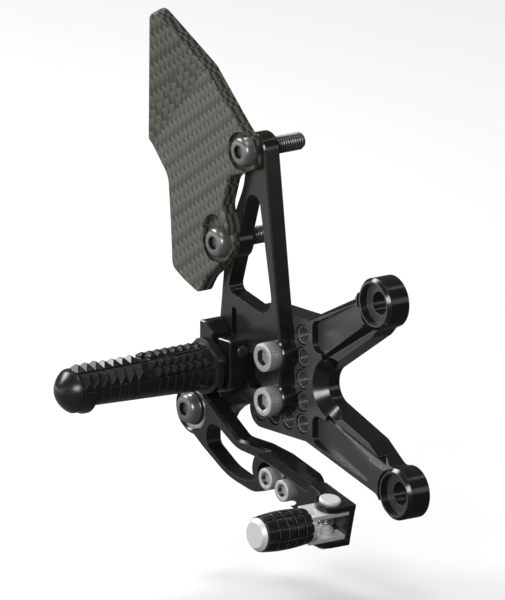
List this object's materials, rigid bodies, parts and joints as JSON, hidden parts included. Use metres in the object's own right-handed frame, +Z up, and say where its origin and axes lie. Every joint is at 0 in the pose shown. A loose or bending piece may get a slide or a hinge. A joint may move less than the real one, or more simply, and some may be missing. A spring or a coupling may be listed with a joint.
{
  "type": "rear sets footrest",
  "caption": "Right-hand motorcycle rear set: machined adapter and side plates, carbon heel guard, fixed footpeg, and a brake lever with a folding toe peg.",
  "frame": {"origin": "axis of the upper frame bore, on the adapter's face that seats on the motorcycle's frame", "axes": "+X forwards, +Y inboard towards the frame (opposite to the way the bolts leave), +Z up"},
  "size_m": [0.1677, 0.1239, 0.2153],
  "materials": {
    "black_anodised": "black anodised, satin",
    "silver_anodised": "clear anodised, satin",
    "bright_steel": "stainless, turned",
    "carbon_laminate": "twill weave carbon fibre under clear lacquer",
    "seal_rubber": "matt"
  },
  "bodies": {
    "frame": {"frame_adapter_plate": "black_anodised", "main_plate": "black_anodised", "plate_bolt_upper": "bright_steel", "plate_bolt_lower": "bright_steel", "heel_guard": "carbon_laminate", "heel_guard_bolt_upper": "bright_steel", "heel_guard_bolt_lower": "bright_steel", "peg_mount": "black_anodised", "peg_mount_screws": "bright_steel", "peg_clamp_screw": "bright_steel", "footpeg_body": "black_anodised", "footpeg_end_plug": "black_anodised", "lever_bearing_inner_ring": "bright_steel", "lever_spacer": "black_anodised", "lever_pivot_bolt": "bright_steel"},
    "brake_lever": {"brake_lever": "black_anodised", "lever_bearing_outer_ring": "bright_steel", "lever_bearing_balls": "bright_steel", "lever_bearing_seals": "seal_rubber", "toe_arm": "black_anodised", "toe_arm_bolt_rear": "bright_steel", "toe_arm_bolt_front": "bright_steel", "toe_arm_washer_rear": "bright_steel", "toe_arm_washer_front": "bright_steel", "toe_peg_hinge_pin": "bright_steel", "toe_peg_hinge_clip": "bright_steel", "toe_peg_spring": "bright_steel"},
    "toe_peg": {"toe_peg_knuckle": "silver_anodised", "toe_peg_sleeve": "black_anodised", "toe_peg_end_cap": "silver_anodised"}
  },
  "joints": [
    {"name": "brake_lever_swing", "type": "hinge", "parent": "frame", "child": "brake_lever", "pos_m": [-0.1034, -0.0276, -0.064], "axis": [0, 1, 0], "range_deg": [0, 15], "stiffness_Nm_per_rad": 1, "springref_deg": -17.19},
    {"name": "toe_peg_fold", "type": "hinge", "parent": "brake_lever", "child": "toe_peg", "pos_m": [0.00568, -0.0413, -0.09201], "axis": [-0.2538, 0, -0.9673], "range_deg": [0, 55], "stiffness_Nm_per_rad": 0.05, "springref_deg": -34.38}
  ]
}
